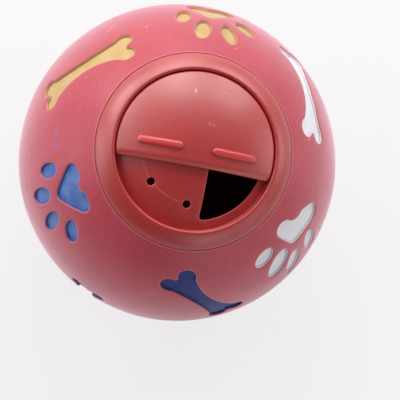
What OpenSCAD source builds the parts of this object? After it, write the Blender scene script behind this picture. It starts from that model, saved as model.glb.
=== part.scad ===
// A treat dispensing ball: a hollow rubber ball with a dial in its mouth.
// The dial sits at the top of the ball. The origin is the ball's lowest point.

/* [Ball] */
// Outside diameter of the rubber ball
ball_d = 110; // [96:1:130]
// Thickness of the rubber wall
wall_t = 6; // [4.5:0.5:8]
// Depth of the recessed bones and paws
recess_t = 1.2; // [0.8:0.1:2]
// Thickness of the paint on the floor of a recess
paint_t = 0.2; // [0.1:0.05:0.4]

/* [Bones and paws] */
// Length of a bone from end to end
bone_l = 36.5; // [28:0.5:40]
// Width of a bone across the two lobes of one end
bone_end_w = 13; // [10:0.5:15]
// Width of a bone at its middle
bone_waist_w = 5.4; // [2:0.2:6]
// Radius of each lobe at a bone's end
bone_lobe_r = 3; // [2:0.1:3.2]
// Width of a paw across its outer toes
paw_w = 28; // [20:0.5:30]

/* [Dial base] */
// Radius of the round well that the cover turns in
well_r = 26; // [24:0.5:28]
// Width of the dial's ring round the well
ring_w = 6; // [5.5:0.5:8]
// Depth of the ring's edge in the rubber
seat_t = 1.7; // [1:0.1:2.5]
// Height of the ring's inner edge over the ball's surface
ring_rise = 0.9; // [0.3:0.1:1.5]
// How far the ring's top bulges over a straight line
ring_crown = 0.55; // [0.3:0.05:1]
// Rounding of the ring's inner edge
ring_lip_r = 0.7; // [0.3:0.1:1]
// Wall of the neck that reaches into the ball
neck_t = 2.8; // [2:0.2:3.2]
// Thickness of the rubber rim that the base grips
rim_t = 5; // [4:0.5:6]
// Reach of the hook under the rubber rim
hook_reach = 2.2; // [1:0.2:2.4]
// Thickness of the hook
hook_t = 2; // [1.5:0.1:2.5]
// Gap between the base and the rubber
seat_gap = 0.1; // [0.05:0.05:0.3]

/* [Dial plate] */
// Thickness of the plate with the window
plate_t = 2; // [1.6:0.1:2.6]
// Gap between the plate and the cover
cover_gap = 0.4; // [0.3:0.05:0.6]
// Distance from the centre to the window's straight side
window_x = 4.9; // [4.9:0.1:8]
// Radius of the window's round side
window_r = 22.6; // [19:0.2:23.6]
// Rounding of the window's two corners
window_corner_r = 1.2; // [0.8:0.2:4]
// Diameter of the dimples that the cover clicks into
dimple_d = 2.5; // [1.5:0.1:3]
// Depth of those dimples
dimple_t = 1.4; // [0.8:0.1:1.5]
// Radius of the circle that the dimples lie on
dimple_circle_r = 17.7; // [16:0.1:18.5]
// Radius of the hub under the plate
hub_r = 4.6; // [4.2:0.1:4.6]
// Height of the hub under the plate
hub_h = 2; // [1.5:0.1:3]

/* [Dial cover] */
// Depth of the cover's top under the ball's surface
cover_sink = 0.4; // [0.2:0.1:0.8]
// Thickness of the half round cover
cover_t = 2.2; // [1.8:0.1:2.6]
// Gap between the cover and the wall of the well
cover_side_gap = 0.3; // [0.2:0.05:0.8]
// Distance from the centre to the cover's straight edge
chord_y = 5.8; // [4:0.2:8]
// Width of the bevel along the straight edge
bevel_w = 1.6; // [0.5:0.1:2]
// Distance from the centre to the inner end of a finger rib
rib_start = 4.8; // [3:0.1:7]
// Distance from the centre to the outer end of a finger rib
rib_end = 19.4; // [16:0.2:22]
// Radius of a finger rib's section
rib_r = 1.1; // [0.8:0.1:1.4]
// Height of the click nub under the cover
nub_h = 0.3; // [0.1:0.05:0.3]

/* [Pivot] */
// Radius of the spindle under the cover
spindle_r = 3; // [2.6:0.1:3.4]
// Running gap round the spindle
spindle_gap = 0.1; // [0.05:0.05:0.2]
// How far the spindle reaches below the hub
spindle_over = 1.1; // [0.8:0.1:1.6]
// Radius of the screw's shank
screw_r = 1.4; // [1.2:0.1:1.6]
// Length of the shank in the spindle
screw_l = 5.5; // [4:0.5:6]
// Radius of the screw's pan head
screw_head_r = 2.9; // [2.5:0.1:3.3]
// Height of the screw's head
screw_head_h = 1.9; // [1.6:0.1:2.4]
// Length of one arm of the cross in the screw's head
cross_l = 3.2; // [2.4:0.2:3.6]
// Width of an arm of the cross
cross_w = 0.8; // [0.6:0.1:1]
// Depth of the cross
cross_t = 1.2; // [0.8:0.1:1.4]
// Radius of the flat washer
washer_r = 4.8; // [4.4:0.1:4.8]
// Thickness of the flat washer
washer_t = 0.8; // [0.6:0.1:1.2]
// Thickness of the spring washer's metal
spring_t = 0.4; // [0.3:0.05:0.5]

/* [Hidden] */

$fn = 96;
// Overrun of the cuts
cut = 1;
ball_r = ball_d / 2;
cavity_r = ball_r - wall_t;
floor_r = ball_r - recess_t;

// Heights here are above the ball's centre
ring_r = well_r + ring_w;
seat_z = sqrt(pow(ball_r, 2) - pow(ring_r, 2)) - seat_t;
ring_edge_z = seat_z + seat_t;
lip_z = sqrt(pow(ball_r, 2) - pow(well_r, 2)) + ring_rise;
rim_z = seat_z - rim_t;
neck_r = well_r + neck_t;
hook_r = neck_r + hook_reach;
hook_z = rim_z - hook_t;
lead_in = hook_reach / 2;

// The plate and the cover are domes about the ball's centre
cover_top_r = ball_r - cover_sink;
cover_under_r = cover_top_r - cover_t;
plate_top_r = cover_under_r - cover_gap;
plate_under_r = plate_top_r - plate_t;
cover_r = well_r - cover_side_gap;
hub_z = plate_under_r - hub_h;
spindle_z = hub_z - spindle_over;
spindle_hole_r = spindle_r + spindle_gap;
washer_hole_r = screw_r + spindle_gap;
spring_hole_r = spindle_r + spindle_gap;
spring_r = hub_r - spindle_gap;
click_angles = [90, 135, 180, 225, 270];
nub_angle = 180;
nub_r = dimple_d / 2 - spindle_gap;

// A paw's pad and notch are circles [x, y, radius], and its toes are ovals
// [x, y, length, width, direction], with the toes towards +Y and as shares of the paw's width
heart_pad_shares = [[0.25, -0.389, 0.096], [-0.146, -0.389, 0.099], [0.053, -0.13, 0.084]];
heart_notch_share = [0.06, -0.53, 0.1];
heart_toe_shares = [[0.376, 0.003, 0.332, 0.178, 85], [0.13, 0.279, 0.409, 0.199, 86],
  [-0.188, 0.265, 0.393, 0.18, 105], [-0.39, -0.018, 0.317, 0.192, 133]];
kidney_pad_shares = [[0.165, -0.362, 0.11], [-0.301, -0.37, 0.133], [-0.043, -0.184, 0.104]];
kidney_notch_share = [0, -0.578, 0.152];
kidney_toe_shares = [[0.413, -0.027, 0.299, 0.215, 64], [0.147, 0.174, 0.457, 0.26, 85],
  [-0.158, 0.307, 0.495, 0.191, 106], [-0.409, 0.085, 0.428, 0.191, 120]];
lobe_overlap_share = 0.75;
lobe_rise_share = 0.6;
lobe_bridge_share = 0.25;
half_step = 0.5;
// The round end of a finger rib, as a share of the rib's own radius
rib_end_share = 0.97;

// Where each bone or paw lies: [name, outline, angle round the dial's axis, turn]
motif_angles = [
  ["upper_yellow_bone", "bone", 150.4, -30.8],
  ["upper_yellow_paw", "heart", 88.6, -2.1],
  ["upper_white_bone", "bone", 38.8, -32.4],
  ["upper_white_paw", "kidney", -32.1, 144.7],
  ["upper_blue_bone", "bone", -73.4, -54.2],
  ["upper_blue_paw", "heart", -150.4, 180.2],
  ["middle_yellow_bone", "bone", 4.4, 24],
  ["middle_blue_paw", "heart", 64.4, 20],
  ["middle_white_bone", "bone", 124.4, -28],
  ["middle_yellow_paw", "kidney", 184.4, 172],
  ["middle_blue_bone", "bone", 244.6, 91],
  ["middle_white_paw", "heart", 304.6, -14],
  ["lower_yellow_bone", "bone", 150, 12],
  ["lower_blue_paw", "heart", 30, 0],
  ["lower_white_paw", "kidney", 270, 0]];
// How far down the ball each one lies, as shares of the way from the ring's edge to the lowest point
motif_shares = [0.139, 0.152, 0.15, 0.152, 0.188, 0.151,
  0.474, 0.48, 0.478, 0.484, 0.446, 0.478, 0.758, 0.758, 0.758];
ring_angle = asin(ring_r / ball_r);

function motif_index(name) = [for (i = [0 : len(motif_angles) - 1]) if (motif_angles[i][0] == name) i][0];
function dial_angle(i) = ring_angle + motif_shares[i] * (180 - ring_angle);

// The circle of a list that reaches furthest in a direction, and its outermost point there
function reach(c, a) = c[0] * cos(a) + c[1] * sin(a) + c[2];
function furthest(circles, a) =
  let (best = max([for (c = circles) reach(c, a)]))
  [for (c = circles) if (reach(c, a) == best) c][0];
function wrap_points(circles, steps) = [
  for (i = [0 : steps - 1])
    let (a = (i + half_step) * 360 / steps, c = furthest(circles, a))
    [c[0] + c[2] * cos(a), c[1] + c[2] * sin(a)]];
function scaled(shares, size) = [for (s = shares) [s[0] * size, s[1] * size, s[2] * size]];
function oval_points(l, w, steps) = [
  for (i = [0 : steps - 1]) [l / 2 * cos(i * 360 / steps), w / 2 * sin(i * 360 / steps)]];

module bone_outline() {
  half_l = bone_l / 2 - bone_lobe_r;
  half_w = bone_end_w / 2 - bone_lobe_r;
  over = lobe_overlap_share * bone_lobe_r;
  k = half_w - bone_waist_w / 2;
  side_r = (pow(half_l, 2) + pow(k, 2) - pow(over, 2)) / (2 * (k + over));
  difference() {
    square([2 * half_l, 2 * (half_w + lobe_rise_share * bone_lobe_r)], center = true);
    for (s = [-1, 1]) translate([0, s * (bone_waist_w / 2 + side_r)]) circle(side_r);
  }
  for (x = [-1, 1]) {
    translate([x * half_l, 0]) square([2 * lobe_bridge_share * bone_lobe_r, 2 * half_w], center = true);
    for (y = [-1, 1]) translate([x * half_l, y * half_w]) circle(bone_lobe_r);
  }
}

module paw_outline(pad, notch, toes) {
  difference() {
    polygon(wrap_points(scaled(pad, paw_w), 36));
    translate([notch[0] * paw_w, notch[1] * paw_w]) circle(notch[2] * paw_w);
  }
  for (t = toes) translate([t[0] * paw_w, t[1] * paw_w]) rotate(t[4])
    polygon(oval_points(t[2] * paw_w, t[3] * paw_w, 20));
}

module outline(kind) {
  if (kind == "bone") bone_outline();
  if (kind == "heart") paw_outline(heart_pad_shares, heart_notch_share, heart_toe_shares);
  if (kind == "kidney") paw_outline(kidney_pad_shares, kidney_notch_share, kidney_toe_shares);
}

// A straight prism of the outline, square to the ball, from below the recess to past its surface
module prism(i) {
  place = motif_angles[i];
  side = max(bone_l, paw_w) / 2 + recess_t;
  low = sqrt(pow(floor_r, 2) - pow(side, 2)) - paint_t;
  rotate([0, dial_angle(i), place[2]]) translate([0, 0, low])
    linear_extrude(height = ball_r - low + cut) rotate(90 + place[3]) outline(place[1]);
}

module recess(i) {
  difference() {
    prism(i);
    sphere(floor_r);
  }
}

module paint(name, tint) {
  color(tint) translate([0, 0, ball_r]) difference() {
    intersection() {
      prism(motif_index(name));
      sphere(floor_r + paint_t);
    }
    sphere(floor_r);
  }
}

module ball_shell() {
  color("#d9707c") translate([0, 0, ball_r]) difference() {
    sphere(ball_r);
    difference() {
      sphere(cavity_r);
      translate([0, 0, rim_z]) cylinder(r = cavity_r, h = ball_r);
    }
    translate([0, 0, hook_z]) cylinder(r = neck_r + seat_gap, h = ball_r);
    translate([0, 0, hook_z - hook_t]) cylinder(r = hook_r + seat_gap, h = 2 * hook_t);
    translate([0, 0, seat_z]) cylinder(r = ring_r + seat_gap, h = ball_r);
    for (i = [0 : len(motif_angles) - 1]) recess(i);
  }
}

// The ring's section: a bulging top between the rubber and the well
module ring_section() {
  run = ring_r - well_r;
  rise = lip_z - ring_edge_z;
  chord = sqrt(pow(run, 2) + pow(rise, 2));
  crown_r = (pow(chord / 2, 2) + pow(ring_crown, 2)) / (2 * ring_crown);
  mid = [(ring_r + well_r) / 2, (ring_edge_z + lip_z) / 2];
  back = (crown_r - ring_crown) / chord;
  intersection() {
    translate([mid[0] - rise * back, mid[1] - run * back]) circle(crown_r);
    translate([well_r, seat_z]) square([run, ball_r - seat_z]);
    union() {
      translate([well_r, seat_z]) square([run, lip_z - ring_lip_r - seat_z]);
      translate([well_r + ring_lip_r, seat_z]) square([run - ring_lip_r, ball_r - seat_z]);
      translate([well_r + ring_lip_r, lip_z - ring_lip_r]) circle(ring_lip_r);
    }
  }
}

module neck_section() {
  translate([well_r, hook_z]) square([neck_t, seat_z - hook_z + seat_t / 2]);
  polygon([[neck_r - neck_t / 2, hook_z], [hook_r - lead_in, hook_z], [hook_r, hook_z + lead_in],
    [hook_r, rim_z - seat_gap], [neck_r - neck_t / 2, rim_z - seat_gap]]);
}

module window_outline() {
  grown = window_r - window_corner_r;
  x = window_x + window_corner_r;
  y = sqrt(pow(grown, 2) - pow(x, 2));
  intersection() {
    circle(window_r);
    translate([window_x, -y]) square([window_r, 2 * y]);
  }
  intersection() {
    circle(window_r);
    translate([x, -window_r]) square([window_r, 2 * window_r]);
    polygon([[0, 0], [x * 2, -y * 2], [window_r * 2, 0], [x * 2, y * 2]]);
  }
  for (s = [-1, 1]) translate([x, s * y]) circle(window_corner_r);
}

module dial_base() {
  color("#c8525a") translate([0, 0, ball_r]) {
    rotate_extrude() union() {
      ring_section();
      neck_section();
    }
    difference() {
      intersection() {
        sphere(plate_top_r);
        translate([0, 0, hook_z]) cylinder(r = well_r + neck_t / 2, h = ball_r);
      }
      difference() {
        sphere(plate_under_r);
        translate([0, 0, hub_z]) cylinder(r = hub_r, h = ball_r);
      }
      cylinder(r = spindle_hole_r, h = ball_r);
      linear_extrude(height = ball_r) window_outline();
      for (a = click_angles) rotate(a) translate([dimple_circle_r, 0, 0])
        translate([0, 0, sqrt(pow(plate_top_r, 2) - pow(dimple_circle_r, 2)) - dimple_t])
          cylinder(d = dimple_d, h = ball_r, $fn = 32);
    }
  }
}

// A finger rib that follows the dome, with round ends
module rib() {
  from = asin((rib_start + rib_r) / cover_top_r);
  to = asin((rib_end - rib_r) / cover_top_r);
  rotate([90, 0, 0]) rotate(90 - to) rotate_extrude(angle = to - from)
    translate([cover_top_r, 0]) circle(rib_r, $fn = 32);
  for (a = [from, to]) rotate([0, a, 0]) translate([0, 0, cover_top_r])
    sphere(rib_end_share * rib_r, $fn = 32);
}

module dial_cover() {
  color("#d0606a") translate([0, 0, ball_r]) difference() {
    union() {
      difference() {
        intersection() {
          sphere(cover_top_r);
          cylinder(r = cover_r, h = ball_r);
          translate([-ball_r, -chord_y, 0]) cube([ball_d, ball_d, ball_r]);
        }
        sphere(cover_under_r);
        translate([-ball_r, -chord_y, sqrt(pow(cover_top_r, 2) - pow(chord_y, 2)) - bevel_w / 2])
          rotate([-45, 0, 0]) translate([0, -ball_r, 0]) cube([ball_d, ball_r, ball_r]);
      }
      translate([0, 0, spindle_z]) cylinder(r = spindle_r, h = cover_under_r + cover_t / 2 - spindle_z);
      for (s = [0, 1]) mirror([s, 0, 0]) rib();
      intersection() {
        rotate([0, 0, nub_angle]) translate([dimple_circle_r, 0, 0])
          cylinder(r = nub_r, h = cover_under_r + cover_t / 2, $fn = 32);
        difference() {
          sphere(cover_under_r + cover_t / 2);
          sphere(cover_under_r - nub_h);
        }
      }
    }
    translate([0, 0, spindle_z - cut]) cylinder(r = screw_r, h = screw_l + cut, $fn = 32);
  }
}

module pivot_screw() {
  head_z = spindle_z - washer_t;
  color("#b9bcc0") translate([0, 0, ball_r]) difference() {
    union() {
      translate([0, 0, head_z]) cylinder(r = screw_r, h = washer_t + screw_l, $fn = 32);
      translate([0, 0, head_z - screw_head_h / 2])
        cylinder(r = screw_head_r, h = screw_head_h / 2, $fn = 48);
      translate([0, 0, head_z - screw_head_h])
        cylinder(r1 = screw_head_r - screw_head_h / 2, r2 = screw_head_r, h = screw_head_h / 2, $fn = 48);
    }
    for (a = [0, 90]) rotate(a) translate([-cross_l / 2, -cross_w / 2, head_z - screw_head_h - cut])
      cube([cross_l, cross_w, cross_t + cut]);
  }
}

module flat_washer() {
  color("#c4c7cb") translate([0, 0, ball_r + spindle_z - washer_t]) difference() {
    cylinder(r = washer_r, h = washer_t);
    translate([0, 0, -cut]) cylinder(r = washer_hole_r, h = washer_t + 2 * cut);
  }
}

// A coned spring ring between the hub and the flat washer
module spring_washer() {
  rise = spindle_over - spring_t - spindle_gap / 2;
  color("#aeb1b6") translate([0, 0, ball_r + spindle_z]) rotate_extrude()
    polygon([[spring_hole_r, rise], [spring_r, 0], [spring_r, spring_t], [spring_hole_r, rise + spring_t]]);
}

module upper_yellow_bone() paint("upper_yellow_bone", "#f0d870");
module upper_yellow_paw() paint("upper_yellow_paw", "#f0d870");
module upper_white_bone() paint("upper_white_bone", "#eef0f2");
module upper_white_paw() paint("upper_white_paw", "#eef0f2");
module upper_blue_bone() paint("upper_blue_bone", "#3f5fc0");
module upper_blue_paw() paint("upper_blue_paw", "#3f5fc0");
module middle_yellow_bone() paint("middle_yellow_bone", "#f0d870");
module middle_yellow_paw() paint("middle_yellow_paw", "#f0d870");
module middle_white_bone() paint("middle_white_bone", "#eef0f2");
module middle_white_paw() paint("middle_white_paw", "#eef0f2");
module middle_blue_bone() paint("middle_blue_bone", "#3f5fc0");
module middle_blue_paw() paint("middle_blue_paw", "#3f5fc0");
module lower_yellow_bone() paint("lower_yellow_bone", "#f0d870");
module lower_white_paw() paint("lower_white_paw", "#eef0f2");
module lower_blue_paw() paint("lower_blue_paw", "#3f5fc0");

ball_shell();
dial_base();
dial_cover();
pivot_screw();
flat_washer();
spring_washer();
upper_yellow_bone();
upper_yellow_paw();
upper_white_bone();
upper_white_paw();
upper_blue_bone();
upper_blue_paw();
middle_yellow_bone();
middle_yellow_paw();
middle_white_bone();
middle_white_paw();
middle_blue_bone();
middle_blue_paw();
lower_yellow_bone();
lower_white_paw();
lower_blue_paw();
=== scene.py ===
# %% [markdown]
# # A treat dispensing ball
# The ball is a hollow rubber moulding with painted bones and paws pressed into it. A round
# dial sits in its mouth: a ring, a domed plate with a window, and a half round cover that
# turns over the window. This lesson gives each of them its real shape and finish.
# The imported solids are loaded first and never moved: they say where everything goes.

# %% Load the solids
import math

import bmesh
import bpy
import numpy as np
from mathutils import Matrix, Vector
from mathutils.geometry import delaunay_2d_cdt
from mathutils.kdtree import KDTree


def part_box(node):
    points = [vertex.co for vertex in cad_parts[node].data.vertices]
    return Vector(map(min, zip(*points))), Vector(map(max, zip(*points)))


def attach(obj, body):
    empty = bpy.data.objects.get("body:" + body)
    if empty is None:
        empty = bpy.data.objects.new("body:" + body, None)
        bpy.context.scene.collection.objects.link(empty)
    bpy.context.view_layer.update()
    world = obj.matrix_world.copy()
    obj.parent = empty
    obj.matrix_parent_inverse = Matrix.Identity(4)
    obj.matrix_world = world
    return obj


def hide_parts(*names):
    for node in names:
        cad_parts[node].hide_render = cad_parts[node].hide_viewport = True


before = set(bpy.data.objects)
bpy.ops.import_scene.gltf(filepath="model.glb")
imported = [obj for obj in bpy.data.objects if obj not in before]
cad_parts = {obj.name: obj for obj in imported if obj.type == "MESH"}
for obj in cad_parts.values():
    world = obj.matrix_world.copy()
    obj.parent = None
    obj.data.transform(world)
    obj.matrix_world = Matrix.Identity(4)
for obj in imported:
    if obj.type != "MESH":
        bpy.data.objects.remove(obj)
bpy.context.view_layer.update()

MM = 0.001

# %% [markdown]
# ## Sizes
# The main sizes are read from the solids' boxes, so they can't drift from them. The rest is
# written in millimetres. Every height below is measured from the ball's centre, because
# ball, plate and cover are all parts of spheres about that one point.

# %% Sizes in millimetres
def box_end(node, side, axis, digits=1):
    """Where a solid's box ends. Side is 0 for its low end and 1 for its high one."""
    return round(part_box(node)[side][axis] / MM, digits)


def sphere_z(radius, across):
    """The height of a sphere about the ball's centre, at a distance from the dial's axis."""
    return np.sqrt(radius ** 2 - np.square(across))


BALL_R, RING_R = box_end("ball_shell", 1, 0), box_end("dial_base", 1, 0)
COVER_R, CHORD_Y = box_end("dial_cover", 1, 0, 2), box_end("dial_cover", 0, 1)
CENTRE = np.array([0, 0, BALL_R])
WALL, RECESS, FILM = 6.0, 1.2, 0.2
SLACK = 0.01  # the solid ball is made of small flats, so the skin stays this much inside it
RING_W, RING_RISE, RING_CROWN, SEAT_DEPTH, SEAT_GAP = 6.0, 0.9, 0.55, 1.7, 0.1
NECK_OUT, HOOK_OUT, RIM, HOOK = 2.8, 5.0, 5.0, 2.0
COVER_SINK, COVER_T, PLATE_GAP, PLATE_T = 0.4, 2.2, 0.4, 2.0
WELL_R = RING_R - RING_W
NECK_R, HOOK_R = WELL_R + NECK_OUT, WELL_R + HOOK_OUT
COVER_TOP = BALL_R - COVER_SINK
COVER_UNDER = COVER_TOP - COVER_T
PLATE_TOP = COVER_UNDER - PLATE_GAP
PLATE_UNDER = PLATE_TOP - PLATE_T
RING_EDGE_Z, LIP_Z = sphere_z(BALL_R, RING_R), sphere_z(BALL_R, WELL_R) + RING_RISE
SEAT_Z = RING_EDGE_Z - SEAT_DEPTH
RIM_Z = SEAT_Z - RIM
HOOK_Z = RIM_Z - HOOK
print(f"ball {BALL_R:.2f}, ring {RING_R:.2f}, cover {COVER_R:.2f}, seat at {SEAT_Z:.2f}")

# %% [markdown]
# ## Camera and light
# The photograph looks almost straight down on the dial. The ball's outline is a circle, so
# its size and place in the picture, with a distance of 60 cm, give the lens and the aim.
# The dial's centre is not in the middle of that circle, and that gives the tilt.
# Aiming the camera beside the ball is preferred to shifting the lens, because the picture
# stays right when the camera goes round the object.

# %% Camera
PICTURE, SENSOR, DISTANCE = 400, 36, 600.0
BALL_AT, BALL_SEEN_R = (177.25, 162.8), 158.3
TILT, TILT_TO, ROLL = (math.radians(degrees) for degrees in (8.52, 34.62, 9.8))


def photo_axes():
    """The dial's own axes as the camera sees them: right, up and towards the camera."""
    flat = math.sin(TILT)
    dial = Vector((flat * math.cos(TILT_TO), flat * math.sin(TILT_TO), math.cos(TILT)))
    ribs = Vector((math.cos(-ROLL), math.sin(-ROLL), 0))
    ribs = (ribs - dial * ribs.dot(dial)).normalized()
    return Matrix((ribs, dial.cross(ribs), dial))


axes = photo_axes()
pixels_per_slope = BALL_SEEN_R / math.tan(math.asin(BALL_R / DISTANCE))
aim = Vector(((BALL_AT[0] - PICTURE / 2) / pixels_per_slope,
              (PICTURE / 2 - BALL_AT[1]) / pixels_per_slope, -1))
lens = bpy.data.cameras.new("photo_camera")
lens.sensor_width = SENSOR
lens.lens = pixels_per_slope * SENSOR / PICTURE
camera = bpy.data.objects.new("photo_camera", lens)
camera.matrix_world = (axes @ aim.rotation_difference(Vector((0, 0, -1))).to_matrix()).to_4x4()
camera.location = (axes @ Vector((0, 0, DISTANCE)) + Vector(CENTRE)) * MM
bpy.context.scene.collection.objects.link(camera)
bpy.context.scene.camera = camera
print(f"lens {lens.lens:.1f} mm, camera at {[round(x, 3) for x in camera.location]}")

# %% [markdown]
# ## Colours and nodes
# A painter names a colour by what the eye sees, and a renderer adds up light. Colours are
# written as the hex values that a painter reads off a picture, and one function turns them
# into linear light. One more function adds any node at all, with its settings, values and
# links, so that a material reads as a list of what it is made of.

# %% Two helpers
def linear(code):
    """A hex colour such as #c4565f as linear red, green, blue and alpha."""
    parts = [int(code[i:i + 2], 16) / 255 for i in (1, 3, 5)]
    return [c / 12.92 if c <= 0.04045 else ((c + 0.055) / 1.055) ** 2.4 for c in parts] + [1]


def add(tree, kind, *values, take=0, **settings):
    """Adds a node and returns the output to take from it. A kind in capitals, such as MULTIPLY,
    is that sum of a Math node. Values fill the inputs in order, or by name from one dict. Each
    is a plain value, another node's output, or a list of outputs."""
    node = tree.nodes.new("ShaderNodeMath" if kind.isupper() else kind)
    for name, value in (dict(settings, operation=kind) if kind.isupper() else settings).items():
        setattr(node, name, value)
    for key, value in values[0].items() if values and isinstance(values[0], dict) else enumerate(values):
        outputs = [v for v in (value if isinstance(value, list) else [value])
                   if isinstance(v, bpy.types.NodeSocket)]
        for output in outputs:
            tree.links.new(output, node.inputs[key])
        if not outputs:
            node.inputs[key].default_value = value
    return node.outputs[take] if node.outputs else None


NOISE, RANGE, MIX, BSDF, XYZ = ("ShaderNode" + kind for kind in (
    "TexNoise", "MapRange", "Mix", "BsdfPrincipled", "CombineXYZ"))

# %% [markdown]
# ## Light and surroundings
# The light comes from a large window above the picture, so the cover shows it as a broad soft
# shine and the upper edge of the rubber turns pale, while the lower half keeps its deep
# colour. One great lamp would do, but a row of smaller ones bends round the ball as a real
# window wall does. The card under the ball is mostly its own white to the camera, which keeps
# it from clipping and still lets it hold the ball's soft shadow.

# %% Lamps
LAMP_AWAY, LAMP_SIZE = 0.8, 0.36
# Each lamp's direction from the ball, as the picture shows it, and its watts
LAMPS = {"window": ((0, 0.87, 0.5), 2.3), "window_far": ((0, 1, 0.1), 0.8),
         "window_left": ((-0.62, 0.75, 0.45), 2.25), "window_right": ((0.55, 0.75, 0.4), 1.8),
         "wall_left": ((-1, 0.1, 0.3), 1.0), "wall_right": ((1, 0.1, 0.3), 1.0),
         "left_front": ((-0.65, 0.3, 0.7), 0.7), "reflector": ((0.3, -0.85, 0.4), 0.6),
         "low_right": ((0.75, -0.55, 0.35), 0.45)}
for name, (toward, watts) in LAMPS.items():
    soft_box = bpy.data.lights.new(name, "AREA")
    soft_box.size, soft_box.energy = LAMP_SIZE, watts
    lamp = bpy.data.objects.new(name, soft_box)
    direction = (axes @ Vector(toward)).normalized()
    lamp.location = Vector(CENTRE) * MM + direction * LAMP_AWAY
    lamp.rotation_euler = direction.to_track_quat("Z", "Y").to_euler()
    bpy.context.scene.collection.objects.link(lamp)
print("lamps", len(LAMPS), "with", round(sum(watts for _, watts in LAMPS.values()), 2), "watts")

# %% Surroundings
BACKDROP, MIRRORED_TOP = "#fafafb", (-0.15, 0.9, -0.35)


def empty_tree(owner):
    """The node tree of a material or of the world, with nothing in it."""
    owner.use_nodes = True
    owner.node_tree.nodes.clear()
    return owner.node_tree


def ray_switches(tree):
    """Two switches: one for the camera's own rays, one for rays off gloss or through glass."""
    rays = add(tree, "ShaderNodeLightPath").node.outputs
    return rays["Is Camera Ray"], add(tree, "MAXIMUM", rays["Is Glossy Ray"], rays["Is Transmission Ray"])


def world_tree():
    """White to the camera, a soft room to the object, and paler above in its reflections."""
    bpy.context.scene.world = bpy.data.worlds.new("pale_studio")
    tree = empty_tree(bpy.context.scene.world)
    to_camera, to_gloss = ray_switches(tree)
    way = add(tree, "ShaderNodeTexCoord", take="Generated")
    above = add(tree, "ShaderNodeVectorMath", way, axes @ Vector(MIRRORED_TOP).normalized(),
                operation="DOT_PRODUCT", take="Value")
    room = add(tree, "ShaderNodeBackground", linear("#fffdfc"), 0.36)
    paler = add(tree, RANGE, above, -0.3, 0.8, 0.08, 1.0)
    gloss = add(tree, "ShaderNodeBackground", linear("#ffffff"), paler)
    backdrop = add(tree, "ShaderNodeBackground", linear(BACKDROP), 1.0)
    sky = add(tree, "ShaderNodeMixShader", to_gloss, room, gloss)
    sky = add(tree, "ShaderNodeMixShader", to_camera, sky, backdrop)
    add(tree, "ShaderNodeOutputWorld", sky)


def floor_material():
    """Pale card. Most of what the camera sees is its own white, and far from the ball all of it."""
    material = bpy.data.materials.new("White_photo_card")
    tree = empty_tree(material)
    to_camera, to_gloss = ray_switches(tree)
    card = add(tree, BSDF, {"Base Color": linear("#e9e9ea"), "Roughness": 0.8})
    own = add(tree, "ShaderNodeEmission", linear(BACKDROP), 1.0)
    place = add(tree, "ShaderNodeTexCoord", take="Object")
    away = add(tree, "ShaderNodeVectorMath", place, operation="LENGTH", take="Value")
    near_white = add(tree, RANGE, away, 0.1, 0.6, 0.75, 1.0, interpolation_type="SMOOTHSTEP")
    share = add(tree, "MULTIPLY_ADD", to_camera, near_white, add(tree, "MULTIPLY", to_gloss, 0.25))
    add(tree, "ShaderNodeOutputMaterial", add(tree, "ShaderNodeMixShader", share, card, own))
    return material


world_tree()
bpy.ops.mesh.primitive_plane_add(size=6)
floor = bpy.context.object
floor.name = "studio_floor"
floor.data.materials.append(floor_material())
bpy.context.scene.view_settings.view_transform = "Standard"

# %% [markdown]
# ## Building skins
# Every piece here is a closed skin made of rings. A ring is a closed row of points, two rings
# of the same count are bridged with quads, and the odd shaped region between rings is filled
# with triangles. That gives each edge its own rounding, which a boolean cut would not.

# %% A skin of rings
CLEAR = 0.62  # how near a filling point may come to a border, as a share of the spacing
TRIANGLE_H = 0.866  # the height of an even triangle with a side of 1


class Skin:
    """Points in millimetres from the ball's centre, the faces between them and one mark each."""

    def __init__(self):
        self.points, self.faces, self.marks = [], [], []

    def ring(self, points, mark=0.0):
        first = len(self.points)
        self.points.extend(np.asarray(points, float).tolist())
        self.marks.extend([mark] * (len(self.points) - first))
        return list(range(first, len(self.points)))

    def bridges(self, rings):
        """Quads from each ring to the next."""
        for one, other in zip(rings, rings[1:]):
            self.faces += zip(one, one[1:] + one[:1], other[1:] + other[:1], other)

    def close(self, ring, point, mark=0.0):
        """A fan from a ring to one point, for a pole."""
        tip = self.ring([point], mark)[0]
        self.faces += [(one, other, tip) for one, other in zip(ring, ring[1:] + ring[:1])]

    def fill(self, outer, holes, extra, flatten, spacing):
        """Triangles between an outer ring and the rings of its holes, through extra points."""
        borders = [i for ring in [outer, *holes] for i in ring]
        near = KDTree(len(borders))
        for k, i in enumerate(borders):
            near.insert(self.points[i], k)
        near.balance()
        extra = [p for p in extra if near.find(p)[2] > CLEAR * spacing]
        flat = flatten(np.array([self.points[i] for i in borders] + [list(p) for p in extra]))
        loops, start = [], 0
        for ring in [outer, *holes]:
            x, y = flat[start:start + len(ring)].T
            order = 1 if (x * np.roll(y, -1) - y * np.roll(x, -1)).sum() > 0 else -1
            loops.append(list(range(start, start + len(ring)))[::order])
            start += len(ring)
        _, _, faces, origin, _, inside = delaunay_2d_cdt([Vector(p) for p in flat], [], loops, 0, 1e-7)
        place = dict(enumerate(borders))
        for face, within in zip(faces, inside):
            if within != [0]:
                continue
            corners = [origin[v][0] for v in face]
            for c in corners:
                if c not in place:
                    place[c] = self.ring([extra[c - len(borders)]])[0]
            self.faces.append(tuple(place[c] for c in corners))


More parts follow.
